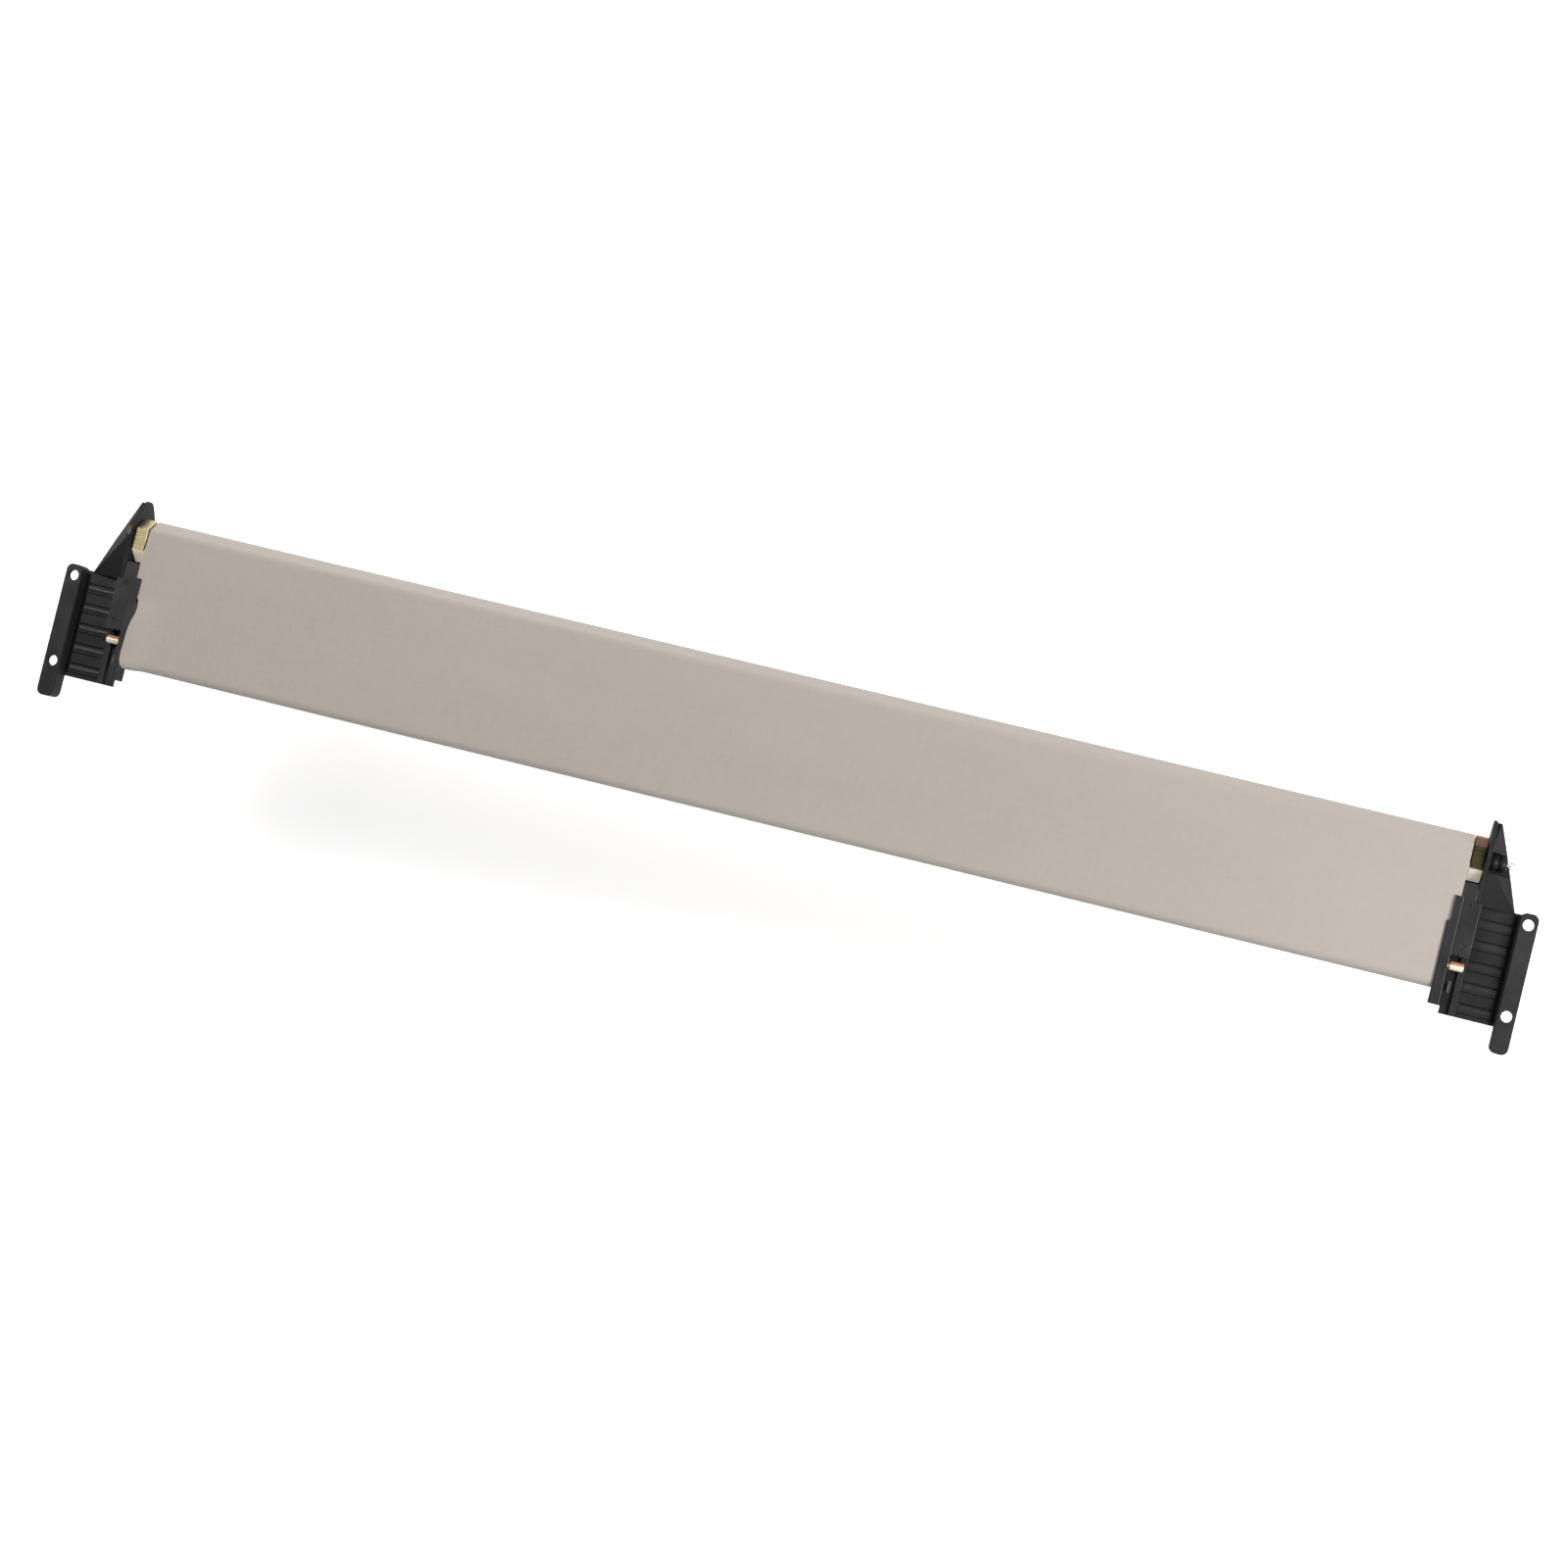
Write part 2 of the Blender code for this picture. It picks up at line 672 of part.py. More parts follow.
def end_cap(name, side):
    """Slider on the bar's end, with a spigot in the bar's hollow and a bore for the pin."""
    cap = prism("cap", bar_outline(0.0002), bar_end + gap, cap_end)
    join(cap, block("spigot", (bar_end - 0.012, pin_y - 0.0055 + gap, bar_z - bar_thick * 0.21 + gap),
                    (bar_end + 0.002, pin_y + 0.0040 - gap, bar_z + bar_thick * 0.27 - gap)))
    cut(cap, rod("bore", bar_end - 0.013, cap_end + 0.001, pin_core + 0.0001, pin_y, bar_z, 16))
    return finish(cap, name, "black_plastic", side)


def guide_pin(name, side):
    """Gold pin: a core in the cap, a shoulder beside it and a barrel in the channel."""
    tip, step = cover_out - 0.0012, 0.0004
    shoulder = cap_end + gap
    barrel = shoulder + 0.0025
    profile = [
        (bar_end - 0.0115, 0), (bar_end - 0.0115, pin_core), (shoulder, pin_core),
        (shoulder, pin_core + 0.0007), (shoulder + 0.0012, pin_core + 0.0007),
        (shoulder + 0.0012, pin_core), (barrel, pin_core), (barrel, pin_radius - step),
        (barrel + step, pin_radius), (tip - 2 * step, pin_radius),
        (tip - step / 2, pin_radius - step), (tip, pin_radius - 2.5 * step), (tip, 0),
    ]
    return finish(turned("pin", profile, pin_y, bar_z, 24), name, "gold_zinc", side)


clear_scene()
bracket("left_bracket", -1, window=False)
bracket("right_bracket", 1, window=True)
for word, side in (("left", -1), ("right", 1)):
    guide_cover(word + "_guide_cover", side)
    guide_leaf(word + "_guide_leaf", side)
    bush(word + "_bush", side, lump=side > 0)
    axle(word + "_axle", side)
    collar(word + "_collar", side)
    end_cap(word + "_end_cap", side)
    guide_pin(word + "_guide_pin", side)
lock_collar()
lock_ring()
roller_tube()
fabric_roll()
torsion_spring()
spring_shaft()
spring_anchor()
drive_plug()
fabric_panel()
pull_bar()
bar_spline()
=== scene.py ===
import json
import math

import bmesh
import bpy
import numpy as np
from mathutils import Matrix, Vector


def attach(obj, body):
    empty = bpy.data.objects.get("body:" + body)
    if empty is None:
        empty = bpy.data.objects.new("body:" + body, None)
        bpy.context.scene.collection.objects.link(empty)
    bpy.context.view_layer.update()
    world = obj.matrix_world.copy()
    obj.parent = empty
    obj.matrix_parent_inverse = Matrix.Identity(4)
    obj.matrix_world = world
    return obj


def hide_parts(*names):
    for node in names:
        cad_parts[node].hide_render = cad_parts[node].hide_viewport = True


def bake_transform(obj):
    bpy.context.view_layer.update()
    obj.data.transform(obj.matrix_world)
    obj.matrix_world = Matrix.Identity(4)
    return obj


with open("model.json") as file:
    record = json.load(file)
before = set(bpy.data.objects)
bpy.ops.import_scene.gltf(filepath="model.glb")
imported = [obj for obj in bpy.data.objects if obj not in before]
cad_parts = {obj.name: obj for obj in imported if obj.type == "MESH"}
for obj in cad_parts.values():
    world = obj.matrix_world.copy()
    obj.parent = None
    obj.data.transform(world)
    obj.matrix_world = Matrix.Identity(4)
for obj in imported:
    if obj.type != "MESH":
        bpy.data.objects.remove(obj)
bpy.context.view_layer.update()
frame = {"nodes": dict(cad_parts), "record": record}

scene = bpy.context.scene
scene.view_settings.view_transform = "Standard"
scene.view_settings.look = "None"

# where things are on the blind, in metres
layout = {
    "rollY": 0.060,          # roller axis
    "rollZ": 0.002,
    "bedZ": 0.01405,         # middle of the cloth over the pull bar
    "noseY": -0.0169,        # axis of the pull bar's round nose
    "noseZ": 0.0095,
    "halfWidth": 0.425,
}


# node helpers

def startMaterial(name, colour, roughness, metallic=0.0):
    made = bpy.data.materials.new(name)
    made.use_nodes = True
    shader = made.node_tree.nodes["Principled BSDF"]
    shader.inputs["Base Color"].default_value = (*colour, 1)
    shader.inputs["Roughness"].default_value = roughness
    shader.inputs["Metallic"].default_value = metallic
    made.diffuse_color = (*colour, 1)
    return made, made.node_tree, shader


def wire(tree, source, target):
    tree.links.new(source, target)


def maths(tree, operation, *values):
    node = tree.nodes.new("ShaderNodeMath")
    node.operation = operation
    for slot, value in zip(node.inputs, values):
        if isinstance(value, (int, float)):
            slot.default_value = value
        else:
            wire(tree, value, slot)
    return node.outputs[0]


def splitSpace(tree, output="Object"):
    # X, Y and Z of a point's place on the blind, or of its facing with "Normal"
    place = tree.nodes.new("ShaderNodeTexCoord")
    split = tree.nodes.new("ShaderNodeSeparateXYZ")
    wire(tree, place.outputs[output], split.inputs[0])
    return split.outputs["X"], split.outputs["Y"], split.outputs["Z"]


def objectNoise(tree, scale, detail=3.0, stretch=(1, 1, 1)):
    place = tree.nodes.new("ShaderNodeTexCoord")
    mapping = tree.nodes.new("ShaderNodeMapping")
    mapping.inputs["Scale"].default_value = stretch
    noise = tree.nodes.new("ShaderNodeTexNoise")
    noise.inputs["Scale"].default_value = scale
    noise.inputs["Detail"].default_value = detail
    wire(tree, place.outputs["Object"], mapping.inputs["Vector"])
    wire(tree, mapping.outputs["Vector"], noise.inputs["Vector"])
    return noise.outputs["Fac"]


def ramp(tree, source, stops):
    # a stop's tone is a colour, or one number for a grey
    node = tree.nodes.new("ShaderNodeValToRGB")
    line = node.color_ramp
    while len(line.elements) < len(stops):
        line.elements.new(0.5)
    for element, (place, tone) in zip(line.elements, stops):
        element.position = place
        element.color = (*tone, 1) if isinstance(tone, tuple) else (tone, tone, tone, 1)
    wire(tree, source, node.inputs["Fac"])
    return node.outputs["Color"]


def mixColour(tree, factor, first, second, blend="MIX"):
    node = tree.nodes.new("ShaderNodeMix")
    node.data_type = "RGBA"
    node.blend_type = blend
    for name, value in (("Factor_Float", factor), ("A_Color", first), ("B_Color", second)):
        socket = next(s for s in node.inputs if s.identifier == name)
        if isinstance(value, (int, float)):
            socket.default_value = value
        elif isinstance(value, tuple):
            socket.default_value = (*value, 1)
        else:
            wire(tree, value, socket)
    return next(s for s in node.outputs if s.identifier == "Result_Color")


def spread(tree, source, low, high):
    # the middle half of a noise, drawn out from low to high
    node = tree.nodes.new("ShaderNodeMapRange")
    node.inputs["From Min"].default_value = 0.25
    node.inputs["From Max"].default_value = 0.75
    node.inputs["To Min"].default_value = low
    node.inputs["To Max"].default_value = high
    wire(tree, source, node.inputs["Value"])
    return node.outputs["Result"]


def bump(tree, shader, height, strength, distance):
    node = tree.nodes.new("ShaderNodeBump")
    node.inputs["Strength"].default_value = strength
    node.inputs["Distance"].default_value = distance
    wire(tree, height, node.inputs["Height"])
    wire(tree, node.outputs["Normal"], shader.inputs["Normal"])


# materials

clothLook = {
    "warp": (0.440, 0.402, 0.372),
    "weft": (0.392, 0.353, 0.322),
    "threadPitch": 0.00056,      # one thread to the next
    "weaveDepth": 0.00009,
    "weaveStrength": 0.35,
    "slubSize": 520,             # thick and thin places in the threads
    "slubDepth": 0.8,
    "fleck": [(0.36, (0.94, 0.94, 0.945)), (0.50, (1, 1, 1)), (0.64, (1.045, 1.04, 1.035))],
    "fleckShare": 0.75,
    "cloudSize": 7,
    "cloudiness": 0.02,          # slow change of tone over the width
    "roughness": (0.74, 0.90),
    "sheen": 0.25,
    "sheenRoughness": 0.45,
    "sheenTint": (1.0, 0.97, 0.94),
    "shine": 0.28,
}


def clothMaterial():
    made, tree, shader = startMaterial("greyBlindCloth", clothLook["warp"], 0.82)
    x, y, z = splitSpace(tree)
    _, facingY, facingZ = splitSpace(tree, "Normal")
    steep = maths(tree, "GREATER_THAN", maths(tree, "ABSOLUTE", facingY),
                  maths(tree, "ABSOLUTE", facingZ))
    along = maths(tree, "ADD", maths(tree, "MULTIPLY", z, steep),
                  maths(tree, "MULTIPLY", y, maths(tree, "SUBTRACT", 1.0, steep)))
    turn = math.pi / clothLook["threadPitch"]
    warpWave = maths(tree, "SINE", maths(tree, "MULTIPLY", x, turn))
    weftWave = maths(tree, "SINE", maths(tree, "MULTIPLY", along, turn))
    crossing = maths(tree, "MULTIPLY", warpWave, weftWave)
    over = maths(tree, "MULTIPLY_ADD", crossing, 0.5, 0.5)     # plain weave: 1 over, 0 under
    slubWarp = objectNoise(tree, clothLook["slubSize"], 2.0, (3, 0.2, 0.2))
    slubWeft = objectNoise(tree, clothLook["slubSize"], 2.0, (0.2, 3, 3))
    slub = maths(tree, "MULTIPLY", maths(tree, "ADD", slubWarp, slubWeft), 0.5)
    threads = mixColour(tree, over, clothLook["weft"], clothLook["warp"])
    fleck = ramp(tree, slub, clothLook["fleck"])
    cloud = ramp(tree, objectNoise(tree, clothLook["cloudSize"], 2.0, (0.6, 1.6, 1.6)),
                 [(0.3, 1 - clothLook["cloudiness"]), (0.7, 1 + clothLook["cloudiness"])])
    mixed = mixColour(tree, clothLook["fleckShare"], threads, fleck, "MULTIPLY")
    wire(tree, mixColour(tree, 1.0, mixed, cloud, "MULTIPLY"), shader.inputs["Base Color"])
    wire(tree, spread(tree, slub, *clothLook["roughness"]), shader.inputs["Roughness"])
    shader.inputs["Sheen Weight"].default_value = clothLook["sheen"]
    shader.inputs["Sheen Roughness"].default_value = clothLook["sheenRoughness"]
    shader.inputs["Sheen Tint"].default_value = (*clothLook["sheenTint"], 1)
    shader.inputs["Specular IOR Level"].default_value = clothLook["shine"]
    height = maths(tree, "ADD", over, maths(tree, "MULTIPLY", slub, clothLook["slubDepth"]))
    bump(tree, shader, height, clothLook["weaveStrength"], clothLook["weaveDepth"])
    return made


plasticLook = {
    "body": (0.0190, 0.0190, 0.0208),
    "dust": (0.026, 0.026, 0.028),
    "worn": (0.060, 0.060, 0.064),       # rubbed edges, paler as well for a painted highlight along them
    "wornDustAndHighlight": (0.045, 0.045, 0.047),
    "grey": (0.11, 0.11, 0.112),         # the guide leaves and the mouldings inside
    "greyDust": (0.16, 0.16, 0.16),
    "patchSize": 55,
    "patchPale": 1.12,
    "patchStops": (0.35, 0.62, 0.85),
    "flowSize": 160,             # flow marks of the moulding
    "flowTones": [(0.3, 0.85), (0.7, 1.12)],
    "flowShare": 0.35,
    "flowDepth": 0.6,
    "height": 0.0210,            # of the tallest cheek above the screw faces
    "depthShadeTones": [              # height above the screw faces, and the tone there: painted shade, near black in the grooves, darker on the lowest faces and lands and on the tallest cheek tops
        (0.0, 0.40), (0.0006, 0.03), (0.0022, 0.03), (0.0026, 0.56), (0.0033, 0.62),
        (0.0037, 1.0), (0.0075, 0.92), (0.0119, 1.0), (0.0166, 1.0), (0.0174, 0.60)],
    "steepShadeTone": 0.40,           # painted shade on walls and slopes: the share of the colour left there
    "steepShadeLevels": (0.90, 0.985),     # levelness where the painted shade ends, and where the full colour starts
    "steepMatt": 0.85,           # extra roughness of walls and slopes
    "mattLevels": (0.955, 0.99),
    "shine": 0.40,
    "grainSize": 1900,
    "grainDepth": 0.00004,
    "grainStrength": 0.16,
    "roughness": (0.24, 0.33),
}


def plasticMaterial(name, colour, dusty, steepShadeTone):
    made, tree, shader = startMaterial(name, colour, 0.42)
    patch = objectNoise(tree, plasticLook["patchSize"], 4.0)
    fine = objectNoise(tree, plasticLook["grainSize"], 2.0)
    flow = objectNoise(tree, plasticLook["flowSize"], 3.0, (0.3, 1.6, 1.0))
    paler = tuple(c * plasticLook["patchPale"] for c in colour)
    patched = ramp(tree, patch, list(zip(plasticLook["patchStops"], (colour, paler, dusty))))
    handled = mixColour(tree, plasticLook["flowShare"], patched,
                        ramp(tree, flow, plasticLook["flowTones"]), "MULTIPLY")
    # painted shade by height: near black in the grooves, darker low down and on the cheek tops
    height = maths(tree, "DIVIDE", splitSpace(tree)[2], plasticLook["height"])
    steps = [(z / plasticLook["height"], tone) for z, tone in plasticLook["depthShadeTones"]]
    depthShaded = mixColour(tree, 1.0, handled, ramp(tree, height, steps), "MULTIPLY")
    level = maths(tree, "ABSOLUTE", splitSpace(tree, "Normal")[2])     # 1 where a face lies flat
    last, first = plasticLook["steepShadeLevels"]
    # walls and slopes are painted darker, as shade
    slopeShade = ramp(tree, level, [(0.0, steepShadeTone), (last, steepShadeTone), (first, 1.0)])
    wire(tree, mixColour(tree, 1.0, depthShaded, slopeShade, "MULTIPLY"), shader.inputs["Base Color"])
    matting = plasticLook["steepMatt"] * (1 - steepShadeTone)
    last, first = plasticLook["mattLevels"]
    matt = ramp(tree, level, [(0.0, matting), (last, matting), (first, 0.0)])
    wire(tree, maths(tree, "ADD", spread(tree, patch, *plasticLook["roughness"]), matt),
         shader.inputs["Roughness"])
    shader.inputs["Specular IOR Level"].default_value = plasticLook["shine"]
    grain = maths(tree, "ADD", fine, maths(tree, "MULTIPLY", flow, plasticLook["flowDepth"]))
    bump(tree, shader, grain, plasticLook["grainStrength"], plasticLook["grainDepth"])
    return made


goldLook = {
    "gold": (0.42, 0.32, 0.18),
    "copper": (0.092, 0.031, 0.014),
    "olive": (0.100, 0.086, 0.050),
    "tan": (0.36, 0.31, 0.18),          # painted reflection on the left collar's front side
    "cream": (0.95, 0.86, 0.70),
    "rightSides": [              # share of the front half turn, and the colour there: the plating's gold, then bands of painted reflection
        (0.0, "gold"), (0.08, "copper"), (0.325, "copper"), (0.340, "olive"),
        (0.655, "olive"), (0.675, "cream")],
    "leftSides": [(0.0, "gold"), (0.08, "tan"), (0.655, "tan"), (0.675, "cream")],
    "creamReflectionFrom": 0.665,
    "gleam": 0.30,               # light the pale side gives off, in place of a bright reflection
    "metalLost": 0.92,           # how much of its metal look the pale side of painted reflection loses
    "cloudy": [(0.32, (0.96, 0.94, 0.92)), (0.50, (1, 1, 1)), (0.72, (1.03, 1.03, 1.01))],
    "cloudySize": 38,
    "cloudyShare": 0.7,
    "streakSize": 900,           # turning marks run round the part
    "streakTones": [(0.3, 0.9), (0.7, 1.05)],
    "streakShare": 0.3,
    "streakDepth": 0.00002,
    "streakStrength": 0.02,
    "roughness": (0.24, 0.36),
}


def goldMaterial():
    made, tree, shader = startMaterial("yellowPlatingPaintedReflections", goldLook["gold"], 0.22, 1.0)
    x, y, z = splitSpace(tree)
    offY = maths(tree, "SUBTRACT", y, layout["rollY"])
    offZ = maths(tree, "SUBTRACT", z, layout["rollZ"])
    around = maths(tree, "ARCTAN2", offZ, offY)
    turned = maths(tree, "DIVIDE", around, math.pi)     # 0 to 1 over the front half turn
    patch = objectNoise(tree, goldLook["cloudySize"], 3.0, (0.5, 1, 1))
    streak = objectNoise(tree, goldLook["streakSize"], 2.0, (0.06, 1, 1))
    # the tones round each collar are painted reflections, which turn with the roller
    left, right = (ramp(tree, turned, [(share, goldLook[tone]) for share, tone in goldLook[end]])
                   for end in ("leftSides", "rightSides"))
    sides = mixColour(tree, maths(tree, "GREATER_THAN", x, 0.0), left, right)
    clouded = mixColour(tree, goldLook["cloudyShare"], sides, ramp(tree, patch, goldLook["cloudy"]),
                        "MULTIPLY")
    streaked = mixColour(tree, goldLook["streakShare"], clouded,
                         ramp(tree, streak, goldLook["streakTones"]), "MULTIPLY")
    wire(tree, streaked, shader.inputs["Base Color"])
    # the pale side is a painted reflection: near white, hardly metal, and glowing
    pale = maths(tree, "GREATER_THAN", turned, goldLook["creamReflectionFrom"])
    metal = maths(tree, "SUBTRACT", 1.0, maths(tree, "MULTIPLY", pale, goldLook["metalLost"]))
    wire(tree, metal, shader.inputs["Metallic"])
    wire(tree, maths(tree, "MULTIPLY", pale, goldLook["gleam"]), shader.inputs["Emission Strength"])
    shader.inputs["Emission Color"].default_value = (*goldLook["cream"], 1)
    wire(tree, spread(tree, streak, *goldLook["roughness"]), shader.inputs["Roughness"])
    bump(tree, shader, streak, goldLook["streakStrength"], goldLook["streakDepth"])
    return made


pinLook = {
    # the pin's cream front and copper top are painted reflections
    "front": goldLook["cream"],
    "top": (0.50, 0.25, 0.15),
    "frontEnds": (0.66, 0.80),       # share of the thickness where the cream painted reflection gives way to the copper top
    "frontY": -0.0082,
    "thickness": 0.004,
    "patchSize": 420,
    "patchShift": 0.12,
    "roughness": (0.20, 0.34),
}


def pinMaterial():
    made, tree, shader = startMaterial("pinPlatingPaintedReflections", pinLook["front"], 0.25, 0.1)
    _, y, _ = splitSpace(tree)
    across = maths(tree, "MULTIPLY_ADD", y, 1 / pinLook["thickness"],
                   -pinLook["frontY"] / pinLook["thickness"])
    patch = objectNoise(tree, pinLook["patchSize"], 2.0)
    # where the pin's painted reflection gives way, shifted by patches
    worn = maths(tree, "ADD", across, maths(tree, "MULTIPLY", patch, pinLook["patchShift"]))
    last, first = pinLook["frontEnds"]
    tones = [(0.0, pinLook["front"]), (last, pinLook["front"]), (first, pinLook["top"])]
    wire(tree, ramp(tree, worn, tones), shader.inputs["Base Color"])
    wire(tree, spread(tree, patch, *pinLook["roughness"]), shader.inputs["Roughness"])
    return made


metalLook = {
    "drawnSize": 700,            # drawing marks along X
    "drawnDepth": 0.00004,
    "drawnStrength": 0.15,
    "spotSize": 90,
    "spotDark": 0.7,
    "spotPale": 1.15,
    "spotShare": 0.4,
    "smoothest": 0.75,           # shares of the metal's own roughness
    "roughest": 1.3,
}


def metalMaterial(name, colour, roughness):
    made, tree, shader = startMaterial(name, colour, roughness, 1.0)
    drawn = objectNoise(tree, metalLook["drawnSize"], 3.0, (0.05, 1, 1))
    spots = objectNoise(tree, metalLook["spotSize"], 3.0)
    dark = tuple(c * metalLook["spotDark"] for c in colour)
    pale = tuple(min(c * metalLook["spotPale"], 1) for c in colour)
    spotted = ramp(tree, spots, [(0.3, dark), (0.7, pale)])
    wire(tree, mixColour(tree, metalLook["spotShare"], colour, spotted),
         shader.inputs["Base Color"])
    low, high = roughness * metalLook["smoothest"], roughness * metalLook["roughest"]
    wire(tree, spread(tree, drawn, low, high), shader.inputs["Roughness"])
    bump(tree, shader, drawn, metalLook["drawnStrength"], metalLook["drawnDepth"])
    return made


finishes = {
    "black_plastic": plasticMaterial("blackMoulding", plasticLook["body"], plasticLook["dust"],
                                     plasticLook["steepShadeTone"]),
    "gold_zinc": goldMaterial(),
    "steel": metalMaterial("brightSteel", (0.62, 0.62, 0.64), 0.28),
    "spring_steel": metalMaterial("springWire", (0.24, 0.24, 0.26), 0.38),
    "aluminium": metalMaterial("millAluminium", (0.74, 0.74, 0.76), 0.34),
    "fabric": clothMaterial(),
    "grey_plastic": plasticMaterial("greyMoulding", plasticLook["grey"], plasticLook["greyDust"],
                                    1.0),
}
pinPlatingPaintedReflections = pinMaterial()
# paler moulding on the rounded edges: rubbed wear, and a painted highlight along them
wornEdgeAndHighlight = plasticMaterial("blackMouldingWornEdgeAndHighlight", plasticLook["worn"], plasticLook["wornDustAndHighlight"],
                           1.0)
print("materials ready")


# hard pieces: softened copies of the frame's parts

def bodyOfNode(node):
    for body, members in frame["record"]["behaviour"]["bodies"].items():
        if node in members:
            return body
    return "brackets"


slotOfNode = {entry["node"]: entry["material_slot"] for entry in frame["record"]["subparts"]}

softenedEdges = {             # edge radius of each moulded or turned piece
    "left_bracket": 0.00028, "right_bracket": 0.00028,
    "left_guide_cover": 0.00018, "right_guide_cover": 0.00018,
    "left_collar": 0.00025, "right_collar": 0.00025,
    "left_guide_pin": 0.0, "right_guide_pin": 0.0,
    "left_end_cap": 0.00012, "right_end_cap": 0.00012,
    "left_bush": 0.0, "right_bush": 0.0, "right_lock_collar": 0.0,
    "left_axle": 0.0, "right_axle": 0.00010, "lock_ring": 0.0,
    "left_guide_leaf": 0.00006, "right_guide_leaf": 0.00006,
    "pull_bar": 0.00015, "roller_tube": 0.0,
}
softening = {
    "mergeWithin": 2e-6,
    "flatWithin": 0.6,           # degrees between faces that count as one
    "roundAbove": 38,            # degrees at an edge that gets a radius
    "room": 2.3,                 # widths that an edge's neighbours must be long
    "sharpAbove": 20,
    "segments": 2,
}


def camel(words):
    first, *rest = words.split("_")
    return first + "".join(word.capitalize() for word in rest)


def markRoomyEdges(bm, width):
    # only edges with room on both sides are rounded, so that small details keep their shape
    weight = bm.edges.layers.float.new("bevel_weight_edge")
    roundAbove = math.radians(softening["roundAbove"])
    for edge in bm.edges:
        if len(edge.link_faces) != 2 or edge.calc_face_angle(0) < roundAbove:
            continue
        shortest = min(other.calc_length() for vert in edge.verts for other in vert.link_edges)
        if shortest > softening["room"] * width:
            edge[weight] = 1.0


def settle(piece):
    # makes the modifiers part of the mesh
    graph = bpy.context.evaluated_depsgraph_get()
    piece.data = bpy.data.meshes.new_from_object(piece.evaluated_get(graph))
    piece.modifiers.clear()


def softenedCopy(node, width):
    source = frame["nodes"][node]
    mesh = source.data.copy()
    bm = bmesh.new()
    bm.from_mesh(mesh)
    bmesh.ops.remove_doubles(bm, verts=bm.verts, dist=softening["mergeWithin"])
    bmesh.ops.dissolve_limit(bm, angle_limit=math.radians(softening["flatWithin"]),
                             verts=bm.verts, edges=bm.edges)
    if width:
        markRoomyEdges(bm, width)
    bm.to_mesh(mesh)
    bm.free()
    piece = bpy.data.objects.new(camel(node) + "Skin", mesh)
    scene.collection.objects.link(piece)
    slot = slotOfNode[node]
    mesh.materials.clear()
    mesh.materials.append(pinPlatingPaintedReflections if node.endswith("guide_pin") else finishes[slot])
    if width:
        if slot == "black_plastic":
            mesh.materials.append(wornEdgeAndHighlight)
        softener = piece.modifiers.new("softEdges", "BEVEL")
        softener.width = width
        softener.segments = softening["segments"]
        softener.limit_method = "WEIGHT"
        softener.use_clamp_overlap = True
        softener.miter_outer = "MITER_ARC"
        softener.material = 1 if slot == "black_plastic" else -1
        settle(piece)
    piece.data.shade_smooth()
    piece.data.set_sharp_from_angle(angle=math.radians(softening["sharpAbove"]))
    evener = piece.modifiers.new("evenShading", "WEIGHTED_NORMAL")     # keeps flat faces flat
    evener.keep_sharp = True
    settle(piece)
    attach(piece, bodyOfNode(node))
    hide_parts(node)


for node, width in softenedEdges.items():
    softenedCopy(node, width)
for name, part in frame["nodes"].items():     # what stays hidden inside keeps its own mesh
    part.data.materials.clear()
    part.data.materials.append(finishes[slotOfNode[name]])
print("hard pieces softened")


# cloth in view

cloth = {
    "thickness": 0.00045,
    "across": 150,               # segments over the width
    "rollReach": 0.01385,        # corners of the outermost layer, which lies on a hexagonal roll
    "rollCorner": 0.0045,
    "layer": 0.0005,
    "turnShare": 0.985,          # of the outermost turn, up to the cloth that leaves it
    "leaveAngle": 110.4,         # degrees round the roller where the cloth lets go
    "bendY": 0.0355,             # where the cloth meets the rails
    "tuckY": -0.0028,            # where the cloth turns up behind the bar
    "tuckRadius": 0.0013,
    "steps": {"turn": 120, "free": 12, "bed": 44, "nose": 16, "under": 6, "groove": 4},
    "rightInset": 0.0002,
    "evenness": 0.55,            # at 0 the columns crowd at the ends, here they stand about evenly
    "curlX": -0.4045,            # where the left edge starts to lift
    "curlWidth": 0.0140,
    "sharpAbove": 50,
    "ripple": 0.00030,
    "rippleLift": 0.6,
    "calm": {"barFade": 0.020, "rollY": 0.0575, "rollFade": 0.016,
             "edgeX": 0.418, "edgeFade": 0.05},
    "waves": [                   # radians per metre along X and Y, start, share
        (21, 46, 0.6, 0.5), (9.5, -70, 2.1, 0.35), (47, 25, 4.0, 0.15)],
}

# left edge: distance along the cloth from the bar's nose, edge x, lift off the bed (mm)
leftEdge = [
    (-30, -419.2, 0.0), (-10, -418.6, 0.0), (-7, -418.7, 0.8), (-4.5, -419.1, 2.2),
    (-3.3, -419.6, 3.4), (-2.5, -420.9, 3.9), (-1.5, -421.8, 3.5), (0, -422.3, 3.05),
    (4, -422.6, 3.0), (12, -422.3, 3.0), (19, -422.0, 3.0), (24, -421.2, 3.0),
    (27, -420.4, 2.95), (30, -419.5, 2.9), (34, -419.2, 2.3), (39, -420.4, 0.6),
    (43, -423.6, 0.0), (50, -425, 0.0), (66, -425, 0.0), (74, -424.2, 0.0),
    (82, -423.3, 0.0), (88, -423.0, 0.0), (96, -423.4, 0.0), (110, -424.6, 0.0),
    (400, -424.8, 0.0),
]


def hexReach(angle):
    # distance from the roller's axis to a hexagon with rounded corners, one flat side up
    halfSide = math.radians(30)
    corner = cloth["rollCorner"]
    inset = cloth["rollReach"] - corner
    off = abs((angle + halfSide) % math.radians(60) - halfSide)     # from the nearest corner
    flat = inset * math.cos(halfSide) + corner
    onFlat = flat / math.cos(halfSide - off)
    side = inset * math.sin(off)
    onCorner = inset * math.cos(off) + math.sqrt(max(corner ** 2 - side ** 2, 0))
    swing = math.atan2(math.sin(off) * onCorner, math.cos(off) * onCorner - inset)
    return onCorner if swing <= halfSide else onFlat


